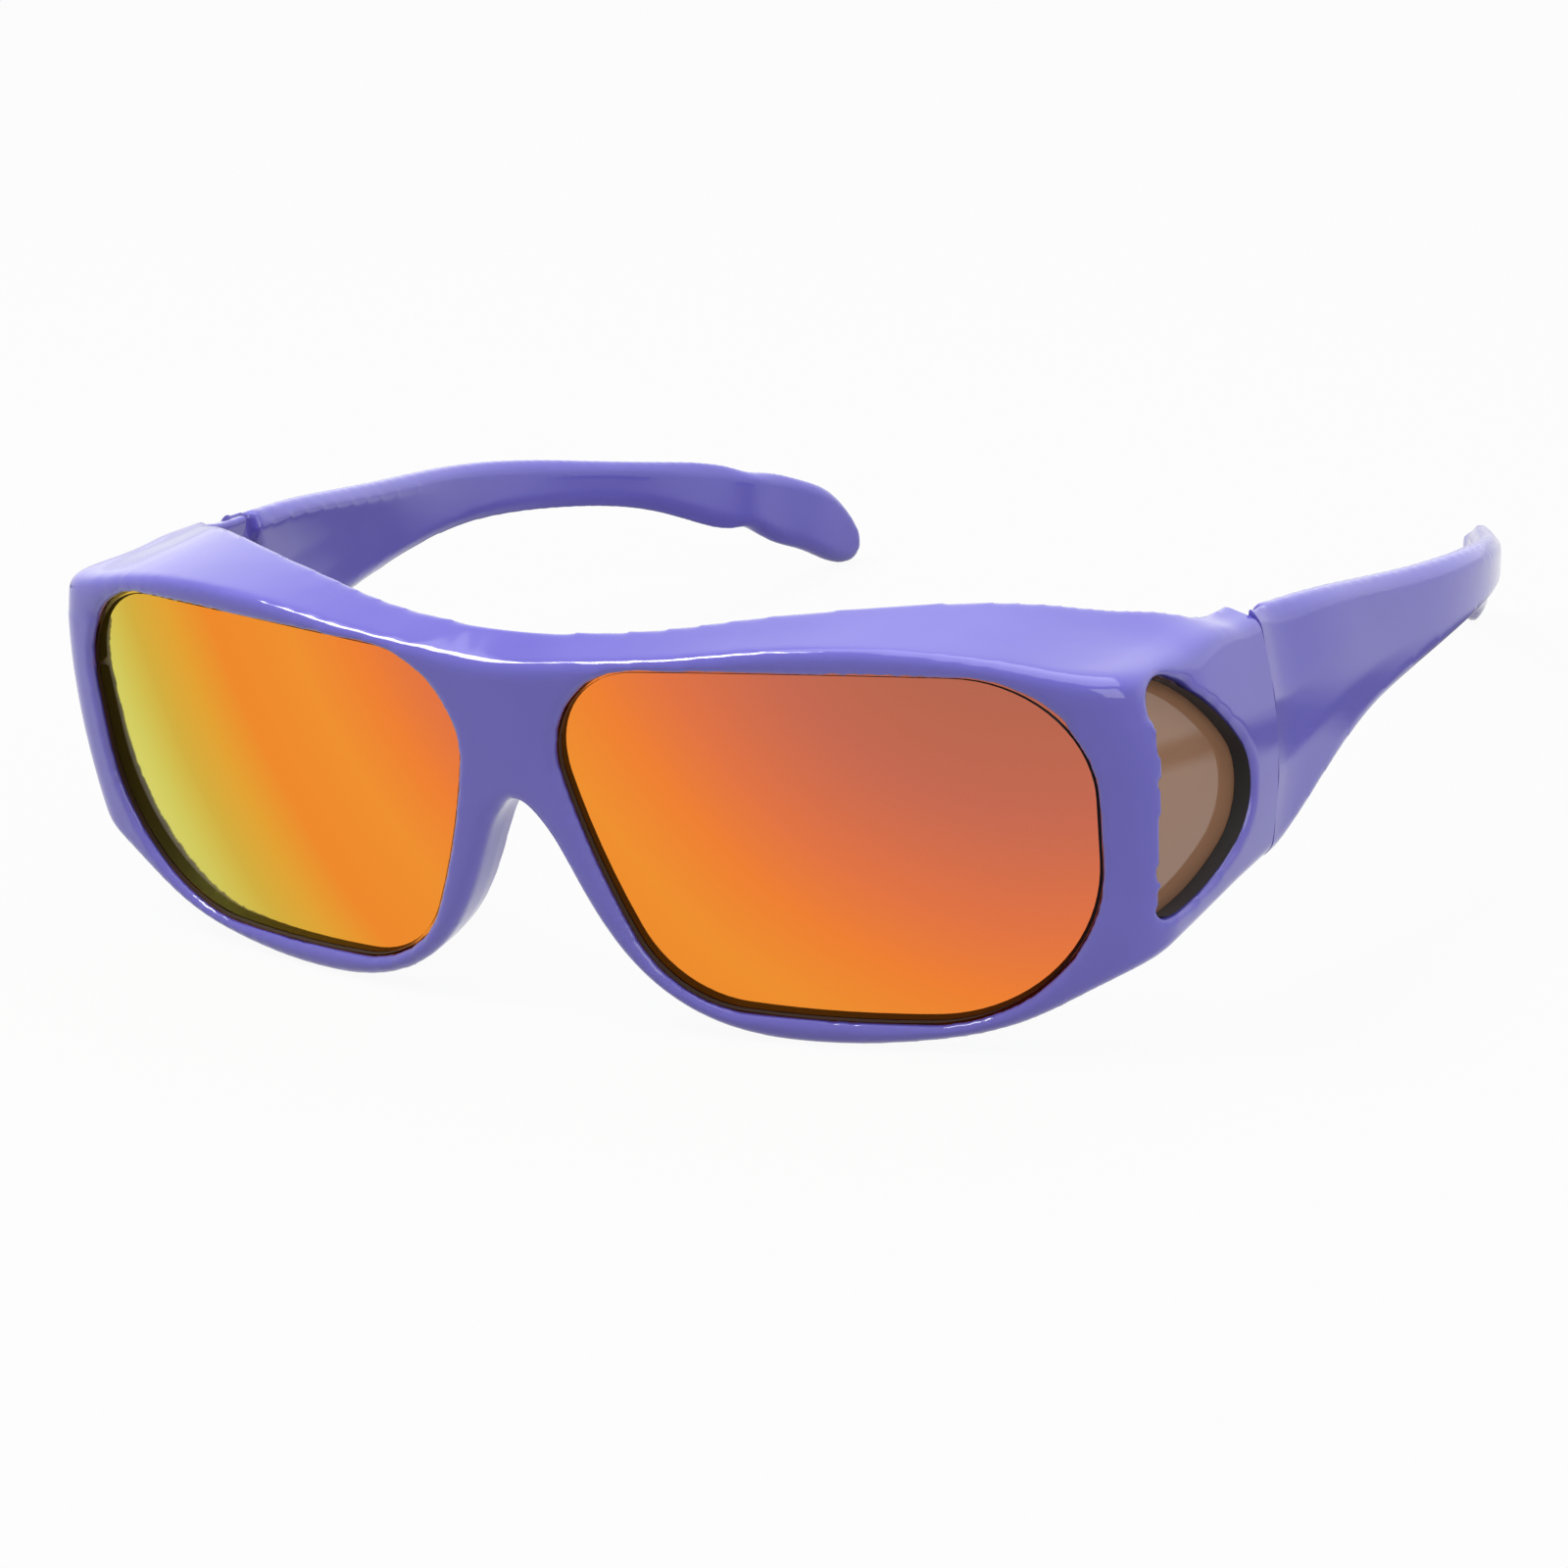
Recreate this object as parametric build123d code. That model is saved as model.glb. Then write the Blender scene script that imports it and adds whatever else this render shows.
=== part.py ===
from build123d import *
import os
from math import sin, cos, atan2, radians, degrees, hypot

# Fitover sunglasses, in millimetres.
# Everything is laid out as the glasses are worn: X across the face, Y from the front
# to the ears, Z up. The front leans, so it is drawn upright and then tipped forward.

# the front and its side walls
front_lean = 13.4          # degrees, top of the front tipped towards -Y
front_radius = 181.7       # wrap of the front, seen from above
corner_radius = 6.0        # where the front turns into the side walls
half_width = 69.5          # centre to the outer face of a side wall, at the seam
side_flare = 2.4           # degrees, the side walls open towards the ears
barrel_radius = 55.0       # the side walls bulge outwards over their height
barrel_z = 27.0            # the height at which they are widest
front_height = 48.0        # nominal height that the shares below follow
wall = 4.0                 # thickness of front and side walls
roof_thickness = 2.6       # of the brow ledge
ledge_back_bevel = 0.8
ledge_front_bevel = 0.7
lower_edge_bevel = 0.9
rim_bevel = 0.5            # front edge of the lens openings
seam_y = 35.0              # where the temples butt against the side walls
seam_gap = 0.2
overrun = 12.0             # how far a cut runs past what it cuts

# lower edge of the front in the upright view: shares of half_width and front_height
lower_edge_shares = [
    (0.000, 0.537), (0.032, 0.505), (0.078, 0.385), (0.125, 0.245), (0.190, 0.125),
    (0.290, 0.036), (0.430, 0.000), (0.600, 0.010), (0.760, 0.060), (0.900, 0.165),
    (0.985, 0.215), (1.150, 0.222),
]

# the ledge as worn: its front edge over the width, and how it rises towards the back
ledge_station_shares = [0.0, 0.15, 0.30, 0.45, 0.60, 0.75, 0.90, 1.00, 1.10]
ledge_front_y_shares = [-0.138, -0.134, -0.128, -0.112, -0.083, -0.042, 0.017, 0.080, 0.120]
ledge_front_z_shares = [0.838, 0.856, 0.883, 0.917, 0.933, 0.919, 0.886, 0.893, 0.891]
ledge_rise_shares = [0.735, 0.560, 0.440, 0.310, 0.245, 0.190, 0.075, 0.020, 0.010]
forehead_radius = 77.2     # plan curve of the ledge's back edge
forehead_y = -4.7          # its foremost point, above the nose

# front lenses and their openings in the upright view
bridge_half = 5.8          # from the middle of the nose bridge to an opening
side_rim = 7.7             # from an opening to the outer face of the side wall
low_rim = 2.8
top_rim = 5.8
opening_corner_shares = [(-0.520, 0.465), (0.508, 0.465), (0.490, -0.470), (-0.318, -0.470)]
opening_side_shares = [(0.010, 0.498), (0.504, 0.080), (0.060, -0.500), (-0.470, 0.060)]
opening_radius_shares = [0.261, 0.348, 0.473, 0.348]   # of the height
lens_recess = 1.3          # from the front face back to the lens
lens_thickness = 1.8
lens_groove = 0.8          # how deep the lens edge sits in the rim
lens_play = 0.06

# side windows and their lenses, as seen from the side
window_y = 8.2
window_z = 17.0
window_length = 19.9
window_top_rim = 5.4
window_corner_shares = [(-0.070, 1.008), (0.090, -0.004), (1.171, 0.391)]
window_side_shares = [(0.002, 0.500), (0.719, 0.113), (0.633, 0.785)]
window_radius_shares = [0.117, 0.062, 0.273]
side_lens_recess = 2.3
side_lens_thickness = 1.3
side_lens_groove = 0.7

# nose flanges behind the inner rims
nose_flange_depth = 6.5
nose_flange_thickness = 2.4
nose_flange_share = 0.29   # how much of the lower edge has them
nose_flange_steps = 6

# temples: the middle line seen from above, and the edges seen from the side
temple_thickness = 4.0
temple_tip_thickness = 3.6
temple_bow = 1.7           # how far outboard of the side walls the temples bow
temple_bend_y = 97.0
temple_bend_radius = 90.0
temple_tip_inset = 22.7    # how far inboard of the side walls they end
temple_end_y = 163.6
temple_foot_z = 18.2       # lower edge at the seam
temple_top_drop = 3.2      # from front_height down to its top edge at the seam
temple_station_shares = [
    0.0, 0.100, 0.215, 0.347, 0.486, 0.601, 0.718, 0.825, 0.871, 0.910, 0.941, 0.964, 0.980, 0.991, 0.998,
]
temple_top_shares = [
    1.000, 0.992, 0.970, 0.945, 0.921, 0.868, 0.801, 0.711, 0.664, 0.613, 0.558, 0.485, 0.408, 0.340, 0.260,
]
temple_bottom_shares = [
    0.000, 0.237, 0.447, 0.571, 0.639, 0.624, 0.538, 0.389, 0.306, 0.233, 0.169, 0.122, 0.111, 0.124, 0.180,
]
tip_share = 0.94           # from here on the temple gets thinner towards its end
tip_flattening = 0.45      # by this share of its thickness
temple_flat_share = 0.5    # from here on the sides are flat, before it they bulge
temple_side_shares = [0.0, 0.33, 0.67, 1.0]   # heights of its sides' corners in each slice
temple_bevel = 1.3
temple_bevel_share = 0.3

# hinges: two knuckles on the front leaf, one on the temple leaf, a screw through all
hinge_height = 8.0
hinge_drop = 7.4           # from front_height down to the top of the knuckles
knuckle_radius = 1.5
knuckle_end_height = 2.6
knuckle_gap = 0.1
screw_radius = 0.7
screw_play = 0.05
screw_head_radius = 1.2
screw_head_height = 0.6
screw_slot_width = 0.35
screw_slot_depth = 0.3
leaf_thickness = 1.0
leaf_length = 5.2
leaf_play = 0.05
hinge_relief = 0.35
hinge_inset = 0.3          # the screw stands this far inboard of the walls' inner faces
root_relief = 4.2          # length of the temple's root that is cut back for the swing

os.makedirs("parts", exist_ok=True)

opening_width = half_width - bridge_half - side_rim
opening_height = front_height - low_rim - top_rim
opening_centre_x = bridge_half + opening_width / 2
opening_centre_z = low_rim + opening_height / 2
window_height = front_height - window_z - window_top_rim
temple_height = front_height - temple_foot_z - temple_top_drop
temple_bend_x = half_width + temple_bow
temple_end_x = half_width - temple_tip_inset
hinge_x = half_width - wall - hinge_inset
hinge_z = front_height - hinge_height - hinge_drop
up = (0, 0, 1)
back = (0, 1, 0)
across = (1, 0, 0)


def worn(shape):
    """From the upright view of the front to the way it is worn."""
    return Rot(X=front_lean) * shape


def bulge(z):
    """How far the outer face of a side curves inwards at this height."""
    return (z - barrel_z) ** 2 / (2 * barrel_radius)


def barrel(inset):
    """The room between the two bulging sides, each moved inboard by inset."""
    centre = Pos(half_width - barrel_radius, seam_y, barrel_z) * Rot(Z=-side_flare) * Rot(X=90)
    side = centre * Cylinder(barrel_radius - inset, 8 * seam_y)
    return side + mirror(side, Plane.YZ)


def front_block(inset):
    """The whole front as a solid block with bulging sides, moved in by inset."""
    cylinder = Cylinder(front_radius - inset, front_height + 1.5 * overrun)
    block = worn(Pos(0, front_radius, (front_height + overrun / 2) / 2) * cylinder) & barrel(inset)
    outer = [e for e in block.edges() if abs((e @ 0.5).X) > half_width / 2 and (e @ 0.5).Y < seam_y]
    corners = sorted(outer, key=lambda e: e.length)[-2:]
    return fillet(corners, corner_radius - inset)


def roof_cutter(drop):
    """Everything above the ledge, lowered by drop."""
    lines = []
    for y in (ledge_front_y_shares[0] * half_width - overrun, seam_y + overrun):
        places = []
        for share, y_share, z_share, rise in zip(
            ledge_station_shares, ledge_front_y_shares, ledge_front_z_shares, ledge_rise_shares
        ):
            z = z_share * front_height + rise * (y - y_share * half_width)
            places.append((share * half_width, y, z - drop))
        left = [(-x, py, z) for x, py, z in reversed(places[1:])]
        lines.append(Spline(left + places))
    roof = Face.make_surface_from_curves(lines[0], lines[1])
    return extrude(roof, amount=front_height, dir=up)


def lower_edge_line():
    right = [(x * half_width, z * front_height) for x, z in lower_edge_shares]
    left = [(-x, z) for x, z in reversed(right[1:])]
    return Spline(left + right)


def under(line, low_z):
    """The area below a line that runs from left to right."""
    left = line @ 0
    right = line @ 1
    rest = Polyline(right, (right.X, low_z), (left.X, low_z), left)
    return make_face(Curve() + [line, rest])


def upright_prism(sketch, start_y, length):
    """A front-view sketch made solid from start_y towards the back."""
    face = Plane((0, start_y, 0), x_dir=(1, 0, 0), z_dir=(0, -1, 0)) * sketch
    return worn(extrude(face, amount=length, dir=back))


def rounded_outline(corner_shares, side_shares, radius_shares, size, grow):
    """A closed outline of bulging sides with rounded corners, moved out by grow."""
    corners = [(x * size[0], z * size[1]) for x, z in corner_shares]
    middles = [(x * size[0], z * size[1]) for x, z in side_shares]
    arcs = []
    for i, middle in enumerate(middles):
        arcs.append(ThreePointArc(corners[i], middle, corners[(i + 1) % len(corners)]))
    outline = Rectangle(4 * size[0], 4 * size[1])
    for arc in arcs:
        outline = outline & Pos(arc.arc_center.X, arc.arc_center.Y) * Circle(arc.radius + grow)
    for corner, share in zip(corners, radius_shares):
        sharp = outline.vertices().sort_by_distance(Vector(*corner))[0]
        outline = fillet(sharp, share * size[1] + grow)
    return outline


def opening_sketch(grow):
    """The outline of one front opening, on the +X side, moved out by grow."""
    size = (opening_width, opening_height)
    outline = rounded_outline(
        opening_corner_shares, opening_side_shares, opening_radius_shares, size, grow
    )
    return Pos(opening_centre_x, opening_centre_z) * outline


def curved_plate(sketch, start, end):
    """A front-view sketch as a plate bent to the wrap, between two depths."""
    outer = Pos(0, front_radius) * Cylinder(front_radius - start, 4 * front_height)
    inner = Pos(0, front_radius) * Cylinder(front_radius - end, 5 * front_height)
    prism = upright_prism(sketch, -overrun, front_height)
    return prism & worn(outer - inner)


def window_sketch(grow):
    """The side window seen from +X, with Y to the right."""
    size = (window_length, window_height)
    outline = rounded_outline(
        window_corner_shares, window_side_shares, window_radius_shares, size, grow
    )
    return Pos(window_y, window_z) * outline


def window_prism(grow):
    start_x = half_width - 2 * wall
    face = Plane((start_x, 0, 0), x_dir=back, z_dir=across) * window_sketch(grow)
    return extrude(face, amount=2 * wall + overrun, dir=across)


def both_sides(shape):
    return [shape, mirror(shape, Plane.YZ)]


def box_between(low, high):
    size = [b - a for a, b in zip(low, high)]
    middle = [(a + b) / 2 for a, b in zip(low, high)]
    return Pos(*middle) * Box(*size)


def post(radius, low_z, high_z):
    """A round post on the hinge axis."""
    return Pos(hinge_x, seam_y, (low_z + high_z) / 2) * Cylinder(radius, high_z - low_z)


hinge_top = hinge_z + hinge_height
middle_low = hinge_z + knuckle_end_height
middle_high = hinge_top - knuckle_end_height


def leaf_box(side, near_y, far_y, low_x, high_x, play):
    """A box at the hinge: side -1 in the front, +1 in the temple."""
    y = sorted((seam_y + side * near_y, seam_y + side * far_y))
    return box_between((low_x, y[0], hinge_z - play), (high_x, y[1], hinge_top + play))


def leaf_plate(side):
    inner = half_width - wall
    return leaf_box(side, seam_gap, leaf_length, inner, inner + leaf_thickness, 0)


def hinge_pocket(side):
    """The recess for a leaf in the inner face of the wall, and room for the knuckles."""
    deep = half_width - wall + leaf_thickness + leaf_play
    recess = leaf_box(side, -seam_gap, leaf_length + leaf_play, deep - overrun, deep, leaf_play)
    relief = post(knuckle_radius + hinge_relief, hinge_z - leaf_play, hinge_top + 2 * screw_head_height)
    return recess + relief


def front_leaf():
    plate = leaf_plate(-1)
    plate -= post(knuckle_radius + hinge_relief, middle_low - knuckle_gap, middle_high + knuckle_gap)
    leaf = plate + post(knuckle_radius, hinge_z, middle_low - knuckle_gap)
    leaf += post(knuckle_radius, middle_high + knuckle_gap, hinge_top)
    return leaf - post(screw_radius + screw_play, hinge_z - overrun, hinge_top + overrun)


def temple_leaf():
    plate = leaf_plate(1)
    plate -= post(knuckle_radius + hinge_relief, hinge_z - overrun, middle_low)
    plate -= post(knuckle_radius + hinge_relief, middle_high, hinge_top + overrun)
    leaf = plate + post(knuckle_radius, middle_low, middle_high)
    return leaf - post(screw_radius + screw_play, hinge_z - overrun, hinge_top + overrun)


def hinge_screw():
    head_top = hinge_top + screw_head_height
    screw = post(screw_radius, hinge_z, hinge_top) + post(screw_head_radius, hinge_top, head_top)
    slot = box_between(
        (hinge_x - overrun, seam_y - screw_slot_width / 2, head_top - screw_slot_depth),
        (hinge_x + overrun, seam_y + screw_slot_width / 2, head_top + overrun),
    )
    return screw - slot


def top_face(shape):
    return max([f for f in shape.faces() if f.normal_at().Z > 0.6], key=lambda f: f.area)


def front_face(shape):
    return max([f for f in shape.faces() if f.normal_at().Y < -0.6], key=lambda f: f.area)


def near_forehead(edge, share):
    place = edge @ share
    return hypot(place.X, place.Y - forehead_y - forehead_radius) < forehead_radius + seam_gap


def eased_shell(shell):
    """The shell with its outer edges bevelled, before anything is cut into it."""
    edges = [e for e in top_face(shell).edges() if (e @ 0.5).Y < seam_y - seam_gap]
    back_edges = [e for e in edges if near_forehead(e, 0) and near_forehead(e, 1)]
    shell = chamfer(back_edges, ledge_back_bevel)
    edges = [e for e in top_face(shell).edges() if (e @ 0.5).Y < seam_y - seam_gap]
    sides = [e for e in edges if abs((e @ 0.5).X) > half_width - corner_radius]
    fronts = [e for e in edges if abs((e @ 0.5).X) < corner_radius and (e @ 0.5).Y < forehead_y - wall / 2]
    shell = chamfer(sides + fronts, ledge_front_bevel)
    edges = front_face(shell).edges().sort_by(Axis.Z)
    middle = [e for e in edges if abs((e @ 0.5).X) < corner_radius]
    return chamfer(middle[0], lower_edge_bevel)


def rim_edges(shell):
    """The front edges of the lens openings."""
    rim = []
    for face in shell.faces().filter_by(GeomType.CYLINDER):
        leaning = abs(face.normal_at().dot(Vector(*back).rotate(Axis.X, front_lean)))
        if leaning < seam_gap and abs(face.center().X) < half_width - wall:
            for edge in face.edges().filter_by(GeomType.LINE, reverse=True):
                place = Vector(*(edge @ 0.5)).rotate(Axis.X, -front_lean)
                if hypot(place.X, place.Y - front_radius) > front_radius - wall / 2:
                    rim.append(edge)
    return rim


def front_frame():
    roof = roof_cutter(0)
    inner = front_block(wall)
    forehead = Pos(0, forehead_y + forehead_radius, 0) * Cylinder(forehead_radius, 4 * front_height)
    front = front_block(0) - roof
    front -= inner - roof_cutter(roof_thickness)
    front -= inner & forehead
    front += nose_flanges() - roof
    front -= upright_prism(under(lower_edge_line(), -overrun), -overrun, 3 * seam_y)
    behind = Pos(0, seam_y - seam_gap / 2 + front_radius, 0)
    front -= behind * Box(4 * half_width, 2 * front_radius, 4 * front_height)
    front = eased_shell(front)
    play = lens_play
    for one in both_sides(curved_plate(opening_sketch(0), -1 * wall, 2 * wall)):
        front -= one
    front = chamfer(rim_edges(front), rim_bevel)
    lens_end = lens_recess + lens_thickness + play
    groove = curved_plate(opening_sketch(lens_groove + play), lens_recess - play, lens_end)
    side_lens_end = side_lens_recess + side_lens_thickness + play
    side_groove = window_prism(side_lens_groove + play) & barrel(side_lens_recess - play)
    side_groove -= barrel(side_lens_end)
    for cut in (groove, window_prism(0), side_groove, hinge_pocket(-1)):
        for one in both_sides(cut):
            front -= one
    return front


def nose_flanges():
    """Walls behind the inner rims that follow the nose notch."""
    edge = lower_edge_line()
    places = []
    for step in range(-nose_flange_steps, nose_flange_steps + 1):
        share = (1 + nose_flange_share * step / nose_flange_steps) / 2
        place = edge @ share
        along = edge % share
        places.append((place.X - nose_flange_thickness * along.Y, place.Y + nose_flange_thickness * along.X))
    strip = under(Spline(places), 0) - under(edge, -overrun)
    return curved_plate(strip, wall / 2, wall + nose_flange_depth)


def front_lens():
    return curved_plate(opening_sketch(lens_groove), lens_recess, lens_recess + lens_thickness)


def side_lens():
    blank = window_prism(side_lens_groove) & barrel(side_lens_recess)
    return blank - barrel(side_lens_recess + side_lens_thickness)


def temple_section(y, x, low, high, thickness, bend):
    """One upright slice of a temple; bend is how much of the side walls' bulge it keeps."""
    bevel = min(temple_bevel, (high - low) / 3)
    half = thickness / 2
    outer = []
    inner = []
    for share in temple_side_shares:
        z = low + bevel + share * (high - low - 2 * bevel)
        outer.append((x + half - bend * bulge(z), z))
        inner.append((x - half - bend * bulge(z), z))
    narrow = thickness * temple_bevel_share
    top = [(outer[-1][0] - narrow, high), (inner[-1][0] + narrow, high)]
    bottom = [(inner[0][0] + narrow, low), (outer[0][0] - narrow, low)]
    outline = Polyline(outer + top + inner[::-1] + bottom, close=True)
    return Plane((0, y, 0), x_dir=across, z_dir=(0, -1, 0)) * make_face(outline)


def temple():
    root_x = half_width - wall / 2
    start_y = seam_y + seam_gap / 2
    length = temple_end_y - start_y
    bend_place = (temple_bend_x, temple_bend_y)
    end_place = (temple_end_x, temple_end_y)
    line = FilletPolyline((root_x, seam_y), bend_place, end_place, radius=temple_bend_radius)
    sections = []
    for share, top, bottom in zip(temple_station_shares, temple_top_shares, temple_bottom_shares):
        y = start_y + share * length
        thickness = temple_thickness + share * (temple_tip_thickness - temple_thickness)
        thickness *= 1 - tip_flattening * max(0, share - tip_share) / (1 - tip_share)
        low = temple_foot_z + bottom * temple_height
        high = temple_foot_z + top * temple_height
        bend = max(0, 1 - share / temple_flat_share)
        sections.append(temple_section(y, middle_x(line, y), low, high, thickness, bend))
    inboard = hinge_x + hinge_inset
    swing = box_between(
        (inboard - overrun, seam_y, temple_foot_z - overrun),
        (inboard, seam_y + root_relief, temple_foot_z + temple_height + overrun),
    )
    return loft(sections) - hinge_pocket(1) - swing


def middle_x(line, y):
    """Where the temple's middle line crosses this Y."""
    low = 0.0
    high = 1.0
    for _ in range(40):
        mid = (low + high) / 2
        if (line @ mid).Y < y:
            low = mid
        else:
            high = mid
    return (line @ high).X


pieces = {"front_frame": front_frame()}
for name, shape in (
    ("lens", front_lens()),
    ("side_lens", side_lens()),
    ("temple", temple()),
    ("hinge_front_leaf", front_leaf()),
    ("hinge_temple_leaf", temple_leaf()),
    ("hinge_screw", hinge_screw()),
):
    left, right = both_sides(shape)
    pieces[name + "_left"] = left
    pieces[name + "_right"] = right


def rest_turn():
    """The turn that sets the rims and the temple tips on one floor."""
    turn = 0
    for _ in range(5):
        heights = []
        for name in ("front_frame", "temple_left"):
            turned = Rot(X=turn) * pieces[name]
            heights.append(turned.bounding_box().min.Z)
        turn -= degrees(atan2(heights[1] - heights[0], temple_end_y))
    return turn


turn = rest_turn()
whole = Compound(children=[Rot(X=turn) * shape for shape in pieces.values()]).bounding_box()
rest = Pos(0, -whole.center().Y, -whole.min.Z) * Rot(X=turn)
for name, shape in pieces.items():
    export_step(rest * shape, "parts/" + name + ".step")
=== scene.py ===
import math
import bpy
import bmesh
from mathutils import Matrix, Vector
from mathutils.bvhtree import BVHTree


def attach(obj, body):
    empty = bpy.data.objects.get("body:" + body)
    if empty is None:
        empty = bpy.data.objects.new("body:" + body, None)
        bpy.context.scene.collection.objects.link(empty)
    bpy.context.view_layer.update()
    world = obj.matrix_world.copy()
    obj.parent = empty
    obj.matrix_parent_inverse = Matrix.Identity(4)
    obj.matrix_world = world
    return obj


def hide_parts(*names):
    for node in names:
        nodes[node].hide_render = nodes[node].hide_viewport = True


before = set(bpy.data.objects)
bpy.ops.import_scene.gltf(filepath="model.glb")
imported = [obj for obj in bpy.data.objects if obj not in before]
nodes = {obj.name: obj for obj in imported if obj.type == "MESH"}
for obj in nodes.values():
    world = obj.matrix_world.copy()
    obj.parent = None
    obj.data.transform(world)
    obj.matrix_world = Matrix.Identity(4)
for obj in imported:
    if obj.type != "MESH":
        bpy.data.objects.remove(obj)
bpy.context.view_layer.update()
print("frame loaded")


def colour(hexColour):   # sRGB hex to linear
    values = []
    for i in (0, 2, 4):
        part = int(hexColour[i:i + 2], 16) / 255
        values.append(part / 12.92 if part <= 0.04045 else ((part + 0.055) / 1.055) ** 2.4)
    return (*values, 1.0)


def scaleOf(sizeMm):   # a pattern's scale on Object coordinates, which are in metres
    return 1000 / sizeMm


def addNode(tree, kind, settings=None, inputs=None, links=None):
    node = tree.nodes.new(kind)
    for name, value in (settings or {}).items():
        setattr(node, name, value)
    for name, value in (inputs or {}).items():
        node.inputs[name].default_value = value
    for name, source in (links or {}).items():
        tree.links.new(source, node.inputs[name])
    return node


def fillRamp(ramp, stops):
    while len(ramp.elements) < len(stops):
        ramp.elements.new(0.5)
    for element, (position, hexColour) in zip(ramp.elements, stops):
        element.position = position
        element.color = colour(hexColour)


def newMaterial(name):
    material = bpy.data.materials.new(name)
    material.use_nodes = True
    material.node_tree.nodes.clear()
    return material, material.node_tree


# injection-moulded polycarbonate in its own violet: a clear gloss, a faint moulding ripple under it
violetShell = {
    "flowMm": 22.0, "flowStops": [(0.35, "6058B8"), (0.70, "6760BF")],   # paler where it flowed on
    "flowFrom": 0.3, "flowTo": 0.7, "smoothest": 0.08, "roughest": 0.16,
    "ior": 1.5, "coat": 0.2, "coatRoughness": 0.05, "coatIor": 1.5,
    "rippleMm": 6.0, "rippleHeight": 0.00001, "rippleStrength": 0.5,
    "grainMm": 0.4, "grainHeight": 0.000002, "grainStrength": 0.4,
}


def mouldedPolycarbonate():
    v = violetShell
    material, tree = newMaterial("moulded violet polycarbonate")
    place = addNode(tree, "ShaderNodeTexCoord")
    flow = addNode(tree, "ShaderNodeTexNoise",
                   inputs={"Scale": scaleOf(v["flowMm"]), "Detail": 2.0},
                   links={"Vector": place.outputs["Object"]})
    tone = addNode(tree, "ShaderNodeValToRGB", links={"Fac": flow.outputs["Fac"]})
    fillRamp(tone.color_ramp, v["flowStops"])
    ripple = addNode(tree, "ShaderNodeTexNoise",
                     inputs={"Scale": scaleOf(v["rippleMm"]), "Detail": 1.0},
                     links={"Vector": place.outputs["Object"]})
    grain = addNode(tree, "ShaderNodeTexNoise",
                    inputs={"Scale": scaleOf(v["grainMm"]), "Detail": 2.0},
                    links={"Vector": place.outputs["Object"]})
    soft = addNode(tree, "ShaderNodeBump",
                   inputs={"Strength": v["rippleStrength"], "Distance": v["rippleHeight"]},
                   links={"Height": ripple.outputs["Fac"]})
    fine = addNode(tree, "ShaderNodeBump",
                   inputs={"Strength": v["grainStrength"], "Distance": v["grainHeight"]},
                   links={"Height": grain.outputs["Fac"], "Normal": soft.outputs["Normal"]})
    rubbed = addNode(tree, "ShaderNodeMapRange", inputs={
        "From Min": v["flowFrom"], "From Max": v["flowTo"],
        "To Min": v["smoothest"], "To Max": v["roughest"],
    }, links={"Value": flow.outputs["Fac"]})
    shader = addNode(tree, "ShaderNodeBsdfPrincipled", inputs={
        "IOR": v["ior"], "Coat Weight": v["coat"], "Coat Roughness": v["coatRoughness"],
        "Coat IOR": v["coatIor"],
    }, links={"Base Color": tone.outputs["Color"], "Normal": fine.outputs["Normal"],
              "Roughness": rubbed.outputs["Result"]})
    addNode(tree, "ShaderNodeOutputMaterial", links={"Surface": shader.outputs["BSDF"]})
    return material


# the front lenses: tinted polycarbonate with a thin vacuum-laid mirror film, red-orange from in
# front and yellow at a slant, with a little of what is behind showing through; the dim red at the
# head-on end of the ramp is partly painted shade, the darker surroundings that the film reflects
mirrorFilm = {
    "stops": [(0.03, "C46E56"), (0.08, "D47258"), (0.15, "F07C4A"), (0.21, "FF8A38"),
              (0.28, "FF9A34"), (0.39, "FF9228"), (0.46, "F2AC28"), (0.53, "E0B828"),
              (0.60, "DED444"), (0.70, "EAEA5A")],
    "through": 0.12, "tint": "5A3A26",
    "driftMm": 30.0, "drift": 0.012,   # the film's thickness drifts, and its colour with it
    "wipeMm": 14.0, "wipeFrom": 0.35, "wipeTo": 0.75, "smoothest": 0.05, "roughest": 0.08,
}


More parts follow.
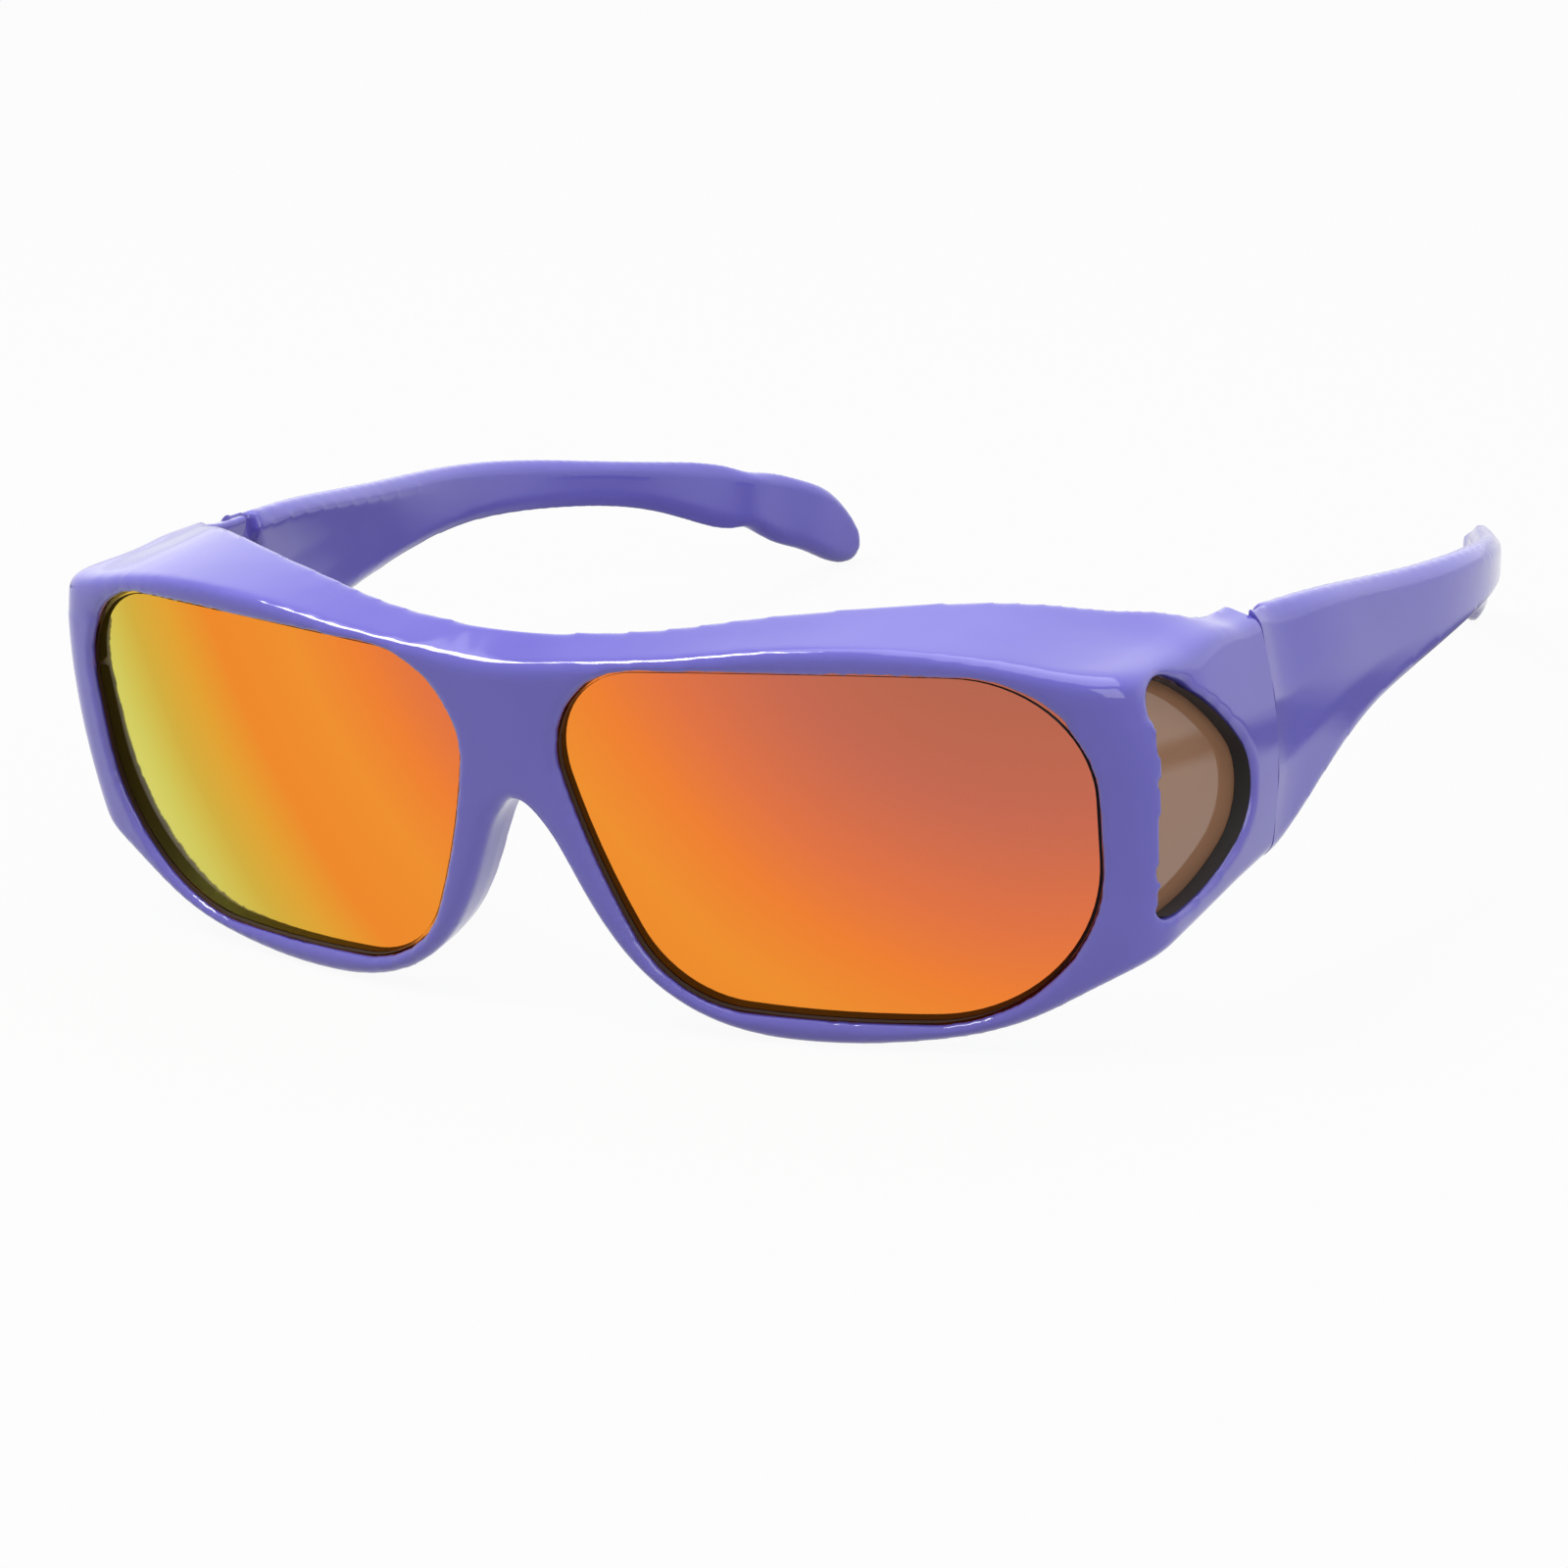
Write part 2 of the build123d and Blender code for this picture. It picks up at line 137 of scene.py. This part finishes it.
def mirrorLens():
    m = mirrorFilm
    material, tree = newMaterial("mirror-coated polycarbonate")
    slant = addNode(tree, "ShaderNodeLayerWeight", inputs={"Blend": 0.5})
    place = addNode(tree, "ShaderNodeTexCoord")
    film = addNode(tree, "ShaderNodeTexNoise",
                   inputs={"Scale": scaleOf(m["driftMm"]), "Detail": 1.0},
                   links={"Vector": place.outputs["Object"]})
    drift = addNode(tree, "ShaderNodeMapRange",
                    inputs={"To Min": -m["drift"], "To Max": m["drift"]},
                    links={"Value": film.outputs["Fac"]})
    shifted = addNode(tree, "ShaderNodeMath", {"operation": "ADD"},
                      links={0: slant.outputs["Facing"], 1: drift.outputs["Result"]})
    # the film's colour by slant; its dim head-on end is partly painted shade
    tone = addNode(tree, "ShaderNodeValToRGB", links={"Fac": shifted.outputs["Value"]})
    fillRamp(tone.color_ramp, m["stops"])
    wiped = addNode(tree, "ShaderNodeTexNoise",
                    inputs={"Scale": scaleOf(m["wipeMm"]), "Detail": 4.0},
                    links={"Vector": place.outputs["Object"]})
    haze = addNode(tree, "ShaderNodeMapRange", inputs={
        "From Min": m["wipeFrom"], "From Max": m["wipeTo"],
        "To Min": m["smoothest"], "To Max": m["roughest"],
    }, links={"Value": wiped.outputs["Fac"]})
    coated = addNode(tree, "ShaderNodeBsdfPrincipled", inputs={"Metallic": 1.0},
                     links={"Base Color": tone.outputs["Color"],
                            "Roughness": haze.outputs["Result"]})
    clear = addNode(tree, "ShaderNodeBsdfTransparent", inputs={"Color": colour(m["tint"])})
    mix = addNode(tree, "ShaderNodeMixShader", inputs={"Fac": m["through"]},
                  links={1: coated.outputs["BSDF"], 2: clear.outputs["BSDF"]})
    addNode(tree, "ShaderNodeOutputMaterial", links={"Surface": mix.outputs["Shader"]})
    return material


# the side lenses: smoke-brown polycarbonate, see-through and glossy, with no mirror film
smokeTint = {
    "colour": "B38565", "ior": 1.58, "through": 0.35, "tint": "8A6A52",
    "dyeMm": 25.0, "smoothest": 0.04, "roughest": 0.09,
}


def smokeLens():
    s = smokeTint
    material, tree = newMaterial("smoke-brown polycarbonate")
    place = addNode(tree, "ShaderNodeTexCoord")
    dye = addNode(tree, "ShaderNodeTexNoise",
                  inputs={"Scale": scaleOf(s["dyeMm"]), "Detail": 1.0},
                  links={"Vector": place.outputs["Object"]})
    haze = addNode(tree, "ShaderNodeMapRange",
                   inputs={"To Min": s["smoothest"], "To Max": s["roughest"]},
                   links={"Value": dye.outputs["Fac"]})
    body = addNode(tree, "ShaderNodeBsdfPrincipled",
                   inputs={"Base Color": colour(s["colour"]), "IOR": s["ior"]},
                   links={"Roughness": haze.outputs["Result"]})
    clear = addNode(tree, "ShaderNodeBsdfTransparent", inputs={"Color": colour(s["tint"])})
    mix = addNode(tree, "ShaderNodeMixShader", inputs={"Fac": s["through"]},
                  links={1: body.outputs["BSDF"], 2: clear.outputs["BSDF"]})
    addNode(tree, "ShaderNodeOutputMaterial", links={"Surface": mix.outputs["Shader"]})
    return material


# the hinges: stamped stainless steel, satin from tumbling, with fine drawn lines
satinSteel = {
    "colour": "C4C4C8", "smoothest": 0.22, "roughest": 0.38,
    "lineMm": 0.12, "lineSquash": 0.05, "lineHeight": 0.000004, "lineStrength": 0.3,
}


def stampedSteel():
    s = satinSteel
    material, tree = newMaterial("satin stainless steel")
    place = addNode(tree, "ShaderNodeTexCoord")
    drawn = addNode(tree, "ShaderNodeMapping", inputs={"Scale": (1.0, s["lineSquash"], 1.0)},
                    links={"Vector": place.outputs["Object"]})
    lines = addNode(tree, "ShaderNodeTexNoise",
                    inputs={"Scale": scaleOf(s["lineMm"]), "Detail": 2.0},
                    links={"Vector": drawn.outputs["Vector"]})
    satin = addNode(tree, "ShaderNodeMapRange",
                    inputs={"To Min": s["smoothest"], "To Max": s["roughest"]},
                    links={"Value": lines.outputs["Fac"]})
    bump = addNode(tree, "ShaderNodeBump",
                   inputs={"Strength": s["lineStrength"], "Distance": s["lineHeight"]},
                   links={"Height": lines.outputs["Fac"]})
    shader = addNode(tree, "ShaderNodeBsdfPrincipled",
                     inputs={"Base Color": colour(s["colour"]), "Metallic": 1.0},
                     links={"Roughness": satin.outputs["Result"], "Normal": bump.outputs["Normal"]})
    addNode(tree, "ShaderNodeOutputMaterial", links={"Surface": shader.outputs["BSDF"]})
    return material


# the walls inside the rims: black polycarbonate, low in gloss, with the tool's own fine grain
rimWallBlack = {"colour": "0C0B10", "ior": 1.58, "grainMm": 0.4, "smoothest": 0.52, "roughest": 0.68}


def blackPolycarbonate():
    b = rimWallBlack
    material, tree = newMaterial("black rim-wall polycarbonate")
    place = addNode(tree, "ShaderNodeTexCoord")
    grain = addNode(tree, "ShaderNodeTexNoise",
                    inputs={"Scale": scaleOf(b["grainMm"]), "Detail": 2.0},
                    links={"Vector": place.outputs["Object"]})
    matt = addNode(tree, "ShaderNodeMapRange",
                   inputs={"To Min": b["smoothest"], "To Max": b["roughest"]},
                   links={"Value": grain.outputs["Fac"]})
    shader = addNode(tree, "ShaderNodeBsdfPrincipled",
                     inputs={"Base Color": colour(b["colour"]), "IOR": b["ior"]},
                     links={"Roughness": matt.outputs["Result"]})
    addNode(tree, "ShaderNodeOutputMaterial", links={"Surface": shader.outputs["BSDF"]})
    return material


violet = mouldedPolycarbonate()
black = blackPolycarbonate()
mirror = mirrorLens()
smoke = smokeLens()
steel = stampedSteel()
print("materials made")


def mergedCopy(node, name, weldDistance=0.000002):
    mesh = nodes[node].data.copy()
    mesh.name = name
    mesh.materials.clear()
    shape = bmesh.new()
    shape.from_mesh(mesh)
    bmesh.ops.remove_doubles(shape, verts=shape.verts, dist=weldDistance)
    shape.to_mesh(mesh)
    shape.free()
    piece = bpy.data.objects.new(name, mesh)
    bpy.context.scene.collection.objects.link(piece)
    return piece


def bake(piece):   # keeps the modifiers' result as the piece's own mesh
    graph = bpy.context.evaluated_depsgraph_get()
    mesh = bpy.data.meshes.new_from_object(piece.evaluated_get(graph))
    piece.modifiers.clear()
    piece.data = mesh


def finishPiece(piece, material, body, slotName, *replaced):
    piece.data.materials.clear()
    piece.data.materials.append(material)
    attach(piece, body)
    if replaced:
        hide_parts(*replaced)
    print(piece.name, len(piece.data.polygons), "faces")


# the curves that the lenses are ground to, in metres: a point on each axis and its direction, with
# the left side's for the side walls; a front lens is ground rounder than the wrap of the frame,
# about its own centre
wrapCurve = {
    "point": (0, 0.100223, 0.018799), "axis": (0, -0.105313, 0.994439), "radius": 0.1817,
    "centre": 0.0338, "centreZ": 0.0225, "acrossRadius": 0.18, "upRadius": 0.10,
}
sideCurve = {
    "point": (0.0145, -0.042298, 0.021961), "axis": (0.041876, 0.990903, -0.127901),
    "radius": 0.055,
}


def axisOf(curve, sign):   # the right side is the mirror image of the left
    flip = Vector((sign, 1, 1))
    return Vector(curve["point"]) * flip, Vector(curve["axis"]).normalized() * flip


def depthBehind(curve, place):   # how deep a place lies behind the curved face, and the way out
    point, axis = axisOf(curve, math.copysign(1, place.x))
    outward = place - point
    outward -= axis * outward.dot(axis)
    return curve["radius"] - outward.length, outward.normalized()


# the violet shell and temples, with the mould's eased edges, drawn past the seam that the temples
# fold at and then cut true to it
moulding = {
    "voxel": 0.00042, "easing": 0.5, "easePasses": 5,
    "seamPoint": (0, -0.041069, 0.031481), "seamNormal": (0, 0.991773, -0.128013),
    "solidGap": 0.0001, "onSeam": 0.00002, "reserve": 0.002, "halfGap": 0.00017,
}
seamPoint = Vector(moulding["seamPoint"])
seamNormal = Vector(moulding["seamNormal"]).normalized()


def ease(shape, verts, passes):
    for turn in range(passes):
        bmesh.ops.smooth_vert(shape, verts=verts, factor=moulding["easing"],
                              use_axis_x=True, use_axis_y=True, use_axis_z=True)


# the brow's outer corners are rounder than its edge: each step eases what lies beyond an x and
# ahead of a y so many times, and each shift lifts what is around a place
brow = {
    "lowest": 0.0365, "deepest": 0.0035,
    "steps": [(0.061, -0.056, 24), (0.059, -0.054, 14), (0.056, -0.052, 10), (0.053, -0.050, 8),
              (0.050, -0.048, 6)],
    "shifts": [((0.0608, -0.0510, 0.0408), 0.0062, 0.0009),
               ((0.0640, -0.0445, 0.0400), 0.0035, -0.0003)],
}


def roundBrow(shape):
    for reach, backEnd, passes in brow["steps"]:
        corner = [v for v in shape.verts
                  if v.co.z > brow["lowest"] and v.co.y < backEnd and abs(v.co.x) > reach
                  and min(depthBehind(wrapCurve, v.co)[0],
                          depthBehind(sideCurve, v.co)[0]) < brow["deepest"]]
        ease(shape, corner, passes)
    for vert in shape.verts:
        beside = Vector((abs(vert.co.x), vert.co.y, vert.co.z))
        for middle, spread, lift in brow["shifts"]:
            vert.co.z += lift * math.exp(-((beside - Vector(middle)).length / spread) ** 2)


# the nose flanges reach less far back than the solid's
noseFlange = {"reach": 0.022, "top": 0.030, "depth": 0.0045, "kept": 0.4}


def drawInFlanges(shape):
    f = noseFlange
    for vert in shape.verts:
        depth, outward = depthBehind(wrapCurve, vert.co)
        if abs(vert.co.x) < f["reach"] and vert.co.z < f["top"] and depth > f["depth"]:
            vert.co += outward * (depth - f["depth"]) * (1 - f["kept"])


# the coloured skin stops just behind the black rim walls
lip = {"width": 0.0010, "turns": 3, "passes": 2, "search": 0.00048, "behindWall": 0.00006}


def tuckLip(shape, walls):
    edge = [v for v in shape.verts if walls.find_nearest(v.co, lip["width"])[0] is not None]
    for turn in range(lip["turns"]):
        ease(shape, edge, lip["passes"])
        for vert in edge:
            spot, normal = walls.find_nearest(vert.co, lip["search"])[:2]
            if spot is not None:
                vert.co -= normal * max(0, (vert.co - spot).dot(normal) + lip["behindWall"])


def cutAtSeam(shape, way):
    cut = bmesh.ops.bisect_plane(
        shape, geom=list(shape.verts) + list(shape.edges) + list(shape.faces), clear_outer=True,
        plane_co=seamPoint - seamNormal * way * moulding["halfGap"], plane_no=seamNormal * way)
    rim = [item for item in cut["geom_cut"] if isinstance(item, bmesh.types.BMEdge)]
    bmesh.ops.holes_fill(shape, edges=rim, sides=0)
    for edge in rim:
        edge.smooth = False   # the joint faces meet square


def mouldedPiece(node, name, body, walls=None):
    m = moulding
    piece = mergedCopy(node, name)
    way = 1 if body == "front" else -1
    for vert in piece.data.vertices:
        if abs((vert.co - seamPoint).dot(seamNormal) + way * m["solidGap"]) < m["onSeam"]:
            vert.co += seamNormal * way * m["reserve"]
    remesh = piece.modifiers.new("remesh", "REMESH")
    remesh.mode = "VOXEL"
    remesh.voxel_size = m["voxel"]
    bake(piece)
    shape = bmesh.new()
    shape.from_mesh(piece.data)
    ease(shape, list(shape.verts), m["easePasses"])
    if body == "front":
        roundBrow(shape)
        drawInFlanges(shape)
        tuckLip(shape, walls)
    cutAtSeam(shape, way)
    shape.to_mesh(piece.data)
    shape.free()
    for face in piece.data.polygons:
        face.use_smooth = True
    finishPiece(piece, violet, body, "frame_plastic", node)


# the black walls between a rim's coloured face and its lens: depths are from the curved face, and
# an edge within the lip is set back by the start, so that the colour runs a little over it
rimWall = {
    "proud": 0.00012, "wallLean": 0.35, "sideStart": 0.064,
    "frontTop": 0.0005, "frontBottom": 0.00135, "frontLip": 0.0009,
    "frontStart": 0.00015, "turnedStart": 0.0004,
    "windowTop": 0.0002, "windowBottom": 0.0027, "windowLip": 0.001, "windowStart": 0.00045,
    "windowMiddle": (0.069, -0.0615, 0.0245), "windowReach": 0.016, "windowFront": -0.0745,
    "rearward": 0.3,   # the wall at a window's front corner faces back and keeps the colour
}


def blackWallFaces(shape):
    r = rimWall
    blackFaces = set()
    for face in shape.faces:
        place = face.calc_center_median()
        sign = math.copysign(1, place.x)
        window = Vector(r["windowMiddle"]) * Vector((sign, 1, 1))
        if abs(place.x) < r["sideStart"]:
            curve, top, bottom = wrapCurve, r["frontTop"], r["frontBottom"]
            middle = Vector((sign * wrapCurve["centre"], place.y, wrapCurve["centreZ"]))
        elif (place.y > r["windowFront"] and (place - window).length < r["windowReach"]
              and face.normal.y <= r["rearward"]):
            curve, top, bottom = sideCurve, r["windowTop"], r["windowBottom"]
            middle = window
        else:
            continue
        depth, outward = depthBehind(curve, place)
        upright = abs(face.normal.dot(outward)) < r["wallLean"]
        if upright and top < depth < bottom and face.normal.dot(middle - place) > 0:
            blackFaces.add(face)
    return blackFaces


def blackRimWalls(name):
    r = rimWall
    piece = mergedCopy("front_frame", name)
    shape = bmesh.new()
    shape.from_mesh(piece.data)
    shape.normal_update()
    blackFaces = blackWallFaces(shape)
    bmesh.ops.delete(shape, geom=[f for f in shape.faces if f not in blackFaces], context="FACES")
    shape.normal_update()
    for vert in shape.verts:
        if abs(vert.co.x) < r["sideStart"]:   # further on walls that face down or to the right
            depth, outward = depthBehind(wrapCurve, vert.co)
            turned = min(1, max(0, -vert.normal.z) + max(0, -vert.normal.x))
            start = r["frontStart"] + r["turnedStart"] * turned if depth < r["frontLip"] else 0
        else:
            depth, outward = depthBehind(sideCurve, vert.co)
            start = r["windowStart"] if depth < r["windowLip"] else 0
        vert.co += vert.normal * r["proud"] - outward * start
    shape.normal_update()
    walls = BVHTree.FromBMesh(shape)
    shape.to_mesh(piece.data)
    shape.free()
    finishPiece(piece, black, "front", "frame_plastic")
    return walls


mouldedPiece("front_frame", "moulded_front", "front", blackRimWalls("rim_walls"))
mouldedPiece("temple_left", "moulded_temple_left", "left_temple")
mouldedPiece("temple_right", "moulded_temple_right", "right_temple")
print("mouldings made")

# a lens is ground true, so its shading follows the curve, and its narrow edge keeps its own
lensFinish = {"longestEdge": 0.002, "frontCuts": 3, "sideCuts": 1, "faceLean": 0.97}


def polishedLens(node, name, curve, sign, material, slotName):
    f = lensFinish
    piece = mergedCopy(node, name)
    point, axis = axisOf(curve, sign)
    isFront = "centre" in curve
    mesh = piece.data
    shape = bmesh.new()
    shape.from_mesh(mesh)
    for turn in range(f["frontCuts"] if isFront else f["sideCuts"]):
        long = [e for e in shape.edges if e.calc_length() > f["longestEdge"]]
        bmesh.ops.subdivide_edges(shape, edges=long, cuts=1)
        bmesh.ops.triangulate(shape, faces=shape.faces)
    shape.to_mesh(mesh)
    shape.free()
    normals = [None] * len(mesh.loops)
    for face in mesh.polygons:
        face.use_smooth = True
        for loop in face.loop_indices:
            place = mesh.vertices[mesh.loops[loop].vertex_index].co
            outward = place - point
            outward = (outward - axis * outward.dot(axis)).normalized()
            lean = outward.dot(face.normal)
            if isFront:
                outward.x += (place.x - sign * curve["centre"]) / curve["acrossRadius"]
                outward += axis * ((place.z - curve["centreZ"]) / curve["upRadius"])
                outward.normalize()
            onFace = abs(lean) > f["faceLean"]
            normals[loop] = outward * math.copysign(1, lean) if onFace else face.normal.copy()
    mesh.normals_split_custom_set(normals)
    finishPiece(piece, material, "front", slotName, node)
    if isFront:
        mesh.materials.append(smoke)   # the film lies on the front only, over plain tinted lens
        for face in mesh.polygons:
            if face.normal.dot(face.center - point) < 0:
                face.material_index = 1


for side, sign in (("left", 1), ("right", -1)):
    polishedLens("lens_" + side, "mirror_lens_" + side, wrapCurve, sign, mirror, "mirror_lens")
    polishedLens("side_lens_" + side, "smoke_lens_" + side, sideCurve, sign, smoke, "smoke_lens")
    for part in ("hinge_front_leaf_", "hinge_temple_leaf_", "hinge_screw_"):
        slots = nodes[part + side].data.materials
        if len(slots):
            slots[0] = steel
        else:
            slots.append(steel)
print("lenses and hinges made")


def rayNodes(tree):   # light paths, and 1 for rays that see the white studio itself
    paths = addNode(tree, "ShaderNodeLightPath")
    direct = addNode(tree, "ShaderNodeMath", {"operation": "MAXIMUM"},
                     links={0: paths.outputs["Is Camera Ray"], 1: paths.outputs["Is Glossy Ray"]})
    through = addNode(tree, "ShaderNodeMath", {"operation": "MAXIMUM"},
                      links={0: direct.outputs["Value"],
                             1: paths.outputs["Is Transmission Ray"]})
    return paths, through


# matt white paper, which glows enough to look white and still takes the object's shadow; in the
# object's gloss alone it has a painted shadow, a darker strip beside the temple roots, placed
# along y in metres
studioPaper = {
    "size": 8.0, "paper": "B4B4B4", "white": "FFFFFF", "glow": 0.94,
    "sheenFrom": -0.08, "sheenTo": 0.12,
    "sheen": [(0.55, "FFFFFF"), (0.63, "828282"), (0.73, "828282"), (0.83, "FFFFFF")],
}


def makeFloor():
    p = studioPaper
    shape = bmesh.new()
    bmesh.ops.create_grid(shape, x_segments=1, y_segments=1, size=p["size"] / 2)
    mesh = bpy.data.meshes.new("studio_floor")
    shape.to_mesh(mesh)
    shape.free()
    floor = bpy.data.objects.new("studio_floor", mesh)
    bpy.context.scene.collection.objects.link(floor)
    material, tree = newMaterial("white studio paper")
    paths, through = rayNodes(tree)
    share = addNode(tree, "ShaderNodeMath", {"operation": "MULTIPLY"}, {1: p["glow"]},
                    {0: through.outputs["Value"]})
    paper = addNode(tree, "ShaderNodeBsdfDiffuse", inputs={"Color": colour(p["paper"])})
    place = addNode(tree, "ShaderNodeTexCoord")
    axes = addNode(tree, "ShaderNodeSeparateXYZ", links={"Vector": place.outputs["Object"]})
    along = addNode(tree, "ShaderNodeMapRange",
                    inputs={"From Min": p["sheenFrom"], "From Max": p["sheenTo"]},
                    links={"Value": axes.outputs["Y"]})
    # painted shadow: the paper turns grey in the gloss beside the temple roots
    sheen = addNode(tree, "ShaderNodeValToRGB", links={"Fac": along.outputs["Result"]})
    fillRamp(sheen.color_ramp, p["sheen"])
    tone = addNode(tree, "ShaderNodeMix", {"data_type": "RGBA"}, {"A": colour(p["white"])},
                   {"Factor": paths.outputs["Is Glossy Ray"], "B": sheen.outputs["Color"]})
    glow = addNode(tree, "ShaderNodeEmission", inputs={"Strength": 1.0},
                   links={"Color": tone.outputs["Result"]})
    mix = addNode(tree, "ShaderNodeMixShader",
                  links={"Fac": share.outputs["Value"], 1: paper.outputs["BSDF"],
                         2: glow.outputs["Emission"]})
    addNode(tree, "ShaderNodeOutputMaterial", links={"Surface": mix.outputs["Shader"]})
    mesh.materials.append(material)


# plain white all round, weaker as light than it is seen, and brighter at the back in sheen alone:
# a painted reflection
studioWorld = {
    "colour": "FFFFFF", "light": 0.45, "seen": 1.0,
    "backFrom": 0.2, "backTo": 0.6, "backSheen": 0.35,
}


def makeWorld():
    w = studioWorld
    world = bpy.data.worlds.new("studio")
    bpy.context.scene.world = world
    world.use_nodes = True
    tree = world.node_tree
    tree.nodes.clear()
    paths, through = rayNodes(tree)
    strength = addNode(tree, "ShaderNodeMapRange",
                       inputs={"To Min": w["light"], "To Max": w["seen"]},
                       links={"Value": through.outputs["Value"]})
    place = addNode(tree, "ShaderNodeTexCoord")
    axes = addNode(tree, "ShaderNodeSeparateXYZ", links={"Vector": place.outputs["Generated"]})
    # painted reflection: the back of the studio is brighter in gloss alone
    back = addNode(tree, "ShaderNodeMapRange", inputs={
        "From Min": w["backFrom"], "From Max": w["backTo"], "To Min": 0.0, "To Max": w["backSheen"],
    }, links={"Value": axes.outputs["Y"]})
    sheen = addNode(tree, "ShaderNodeMath", {"operation": "MULTIPLY_ADD"},
                    links={0: back.outputs["Result"], 1: paths.outputs["Is Glossy Ray"],
                           2: strength.outputs["Result"]})
    sky = addNode(tree, "ShaderNodeBackground", inputs={"Color": colour(w["colour"])},
                  links={"Strength": sheen.outputs["Value"]})
    addNode(tree, "ShaderNodeOutputWorld", links={"Surface": sky.outputs["Background"]})


# square softboxes, with sizes and places in metres and powers in watts
softboxes = {
    "overhead": {"place": (0.1, 0.15, 1.3), "aim": (0, 0, 0.02), "size": 1.4, "power": 12.0},
    "glint": {"place": (-0.54, -0.35, 1.05), "aim": (0, -0.05, 0.03), "size": 0.35, "power": 8.0},
    "side": {"place": (1.1, -0.5, 0.6), "aim": (0.03, -0.03, 0.02), "size": 0.8, "power": 4.5},
}


def makeSoftbox(name):
    box = softboxes[name]
    light = bpy.data.lights.new(name + " softbox", "AREA")
    light.shape = "SQUARE"
    light.size = box["size"]
    light.energy = box["power"]
    lamp = bpy.data.objects.new(name + " softbox", light)
    lamp.location = box["place"]
    aim = Vector(box["aim"]) - Vector(box["place"])
    lamp.rotation_euler = aim.to_track_quat("-Z", "Y").to_euler()
    bpy.context.scene.collection.objects.link(lamp)


makeFloor()
makeWorld()
for name in softboxes:
    makeSoftbox(name)

# the camera's place in metres, its turn in degrees and its lens in millimetres
studioCamera = {
    "place": (0.21958, -0.4151, 0.165344), "turn": (70.544, 3.4951, 28.1339),
    "lens": 92.4075, "sensor": 36.0,
}
camera = bpy.data.cameras.new("studio_camera")
camera.lens = studioCamera["lens"]
camera.sensor_width = studioCamera["sensor"]
view = bpy.data.objects.new("studio_camera", camera)
view.location = studioCamera["place"]
view.rotation_euler = [math.radians(angle) for angle in studioCamera["turn"]]
bpy.context.scene.collection.objects.link(view)
bpy.context.scene.camera = view
bpy.context.scene.view_settings.view_transform = "Standard"
print("studio made")
